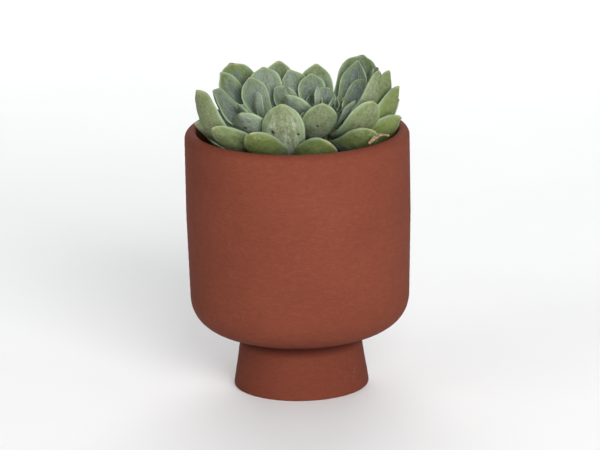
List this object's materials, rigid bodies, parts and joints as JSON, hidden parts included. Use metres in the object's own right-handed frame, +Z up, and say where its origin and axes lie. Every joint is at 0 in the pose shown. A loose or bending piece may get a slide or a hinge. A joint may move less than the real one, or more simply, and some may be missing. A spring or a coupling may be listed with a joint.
{
  "type": "potted succulent",
  "caption": "Rosette succulent with thick cupped leaves on short stems, rooted in soil in a footed unglazed clay pot.",
  "frame": {"origin": "centre of the pot's foot, at the level of the surface that it stands on", "axes": "+Z up along the pot's axis, -Y towards the plant's front, +X to its right"},
  "size_m": [0.12, 0.12, 0.1756],
  "materials": {
    "clay": "unglazed, matte",
    "soil": "loose bark and peat mix, matte",
    "stem": "corky, matte",
    "leaf": "waxy bloom, soft satin",
    "dry_leaf": "papery, matte"
  },
  "bodies": {
    "root": {"pot": "clay", "soil": "soil", "left_stem": "stem", "middle_stem": "stem", "right_stem": "stem", "left_heart": "leaf", "middle_heart": "leaf", "right_heart": "leaf", "left_leaf_01": "leaf", "middle_leaf_01": "leaf", "right_leaf_01": "leaf", "left_leaf_02": "leaf", "middle_leaf_02": "leaf", "right_leaf_02": "leaf", "left_leaf_03": "leaf", "middle_leaf_03": "leaf", "right_leaf_03": "leaf", "left_leaf_04": "leaf", "middle_leaf_04": "leaf", "right_leaf_04": "leaf", "left_leaf_05": "leaf", "middle_leaf_05": "leaf", "right_leaf_05": "leaf", "left_leaf_06": "leaf", "middle_leaf_06": "leaf", "right_leaf_06": "leaf", "left_leaf_07": "leaf", "middle_leaf_07": "leaf", "right_leaf_07": "leaf", "left_leaf_08": "leaf", "middle_leaf_08": "leaf", "right_leaf_08": "leaf", "left_leaf_09": "leaf", "middle_leaf_09": "leaf", "right_leaf_09": "leaf", "left_leaf_10": "leaf", "middle_leaf_10": "leaf", "right_leaf_10": "leaf", "left_leaf_11": "leaf", "middle_leaf_11": "leaf", "right_leaf_11": "leaf", "left_leaf_12": "leaf", "middle_leaf_12": "leaf", "right_leaf_12": "leaf", "left_leaf_13": "leaf", "middle_leaf_13": "leaf", "right_leaf_13": "leaf", "left_leaf_14": "leaf", "middle_leaf_14": "leaf", "right_leaf_14": "leaf", "left_leaf_15": "leaf", "middle_leaf_15": "leaf", "right_leaf_15": "leaf", "left_leaf_16": "leaf", "middle_leaf_16": "leaf", "right_leaf_16": "leaf", "left_leaf_17": "leaf", "left_leaf_18": "leaf", "left_leaf_19": "leaf", "dry_leaf": "dry_leaf"}
  },
  "joints": []
}
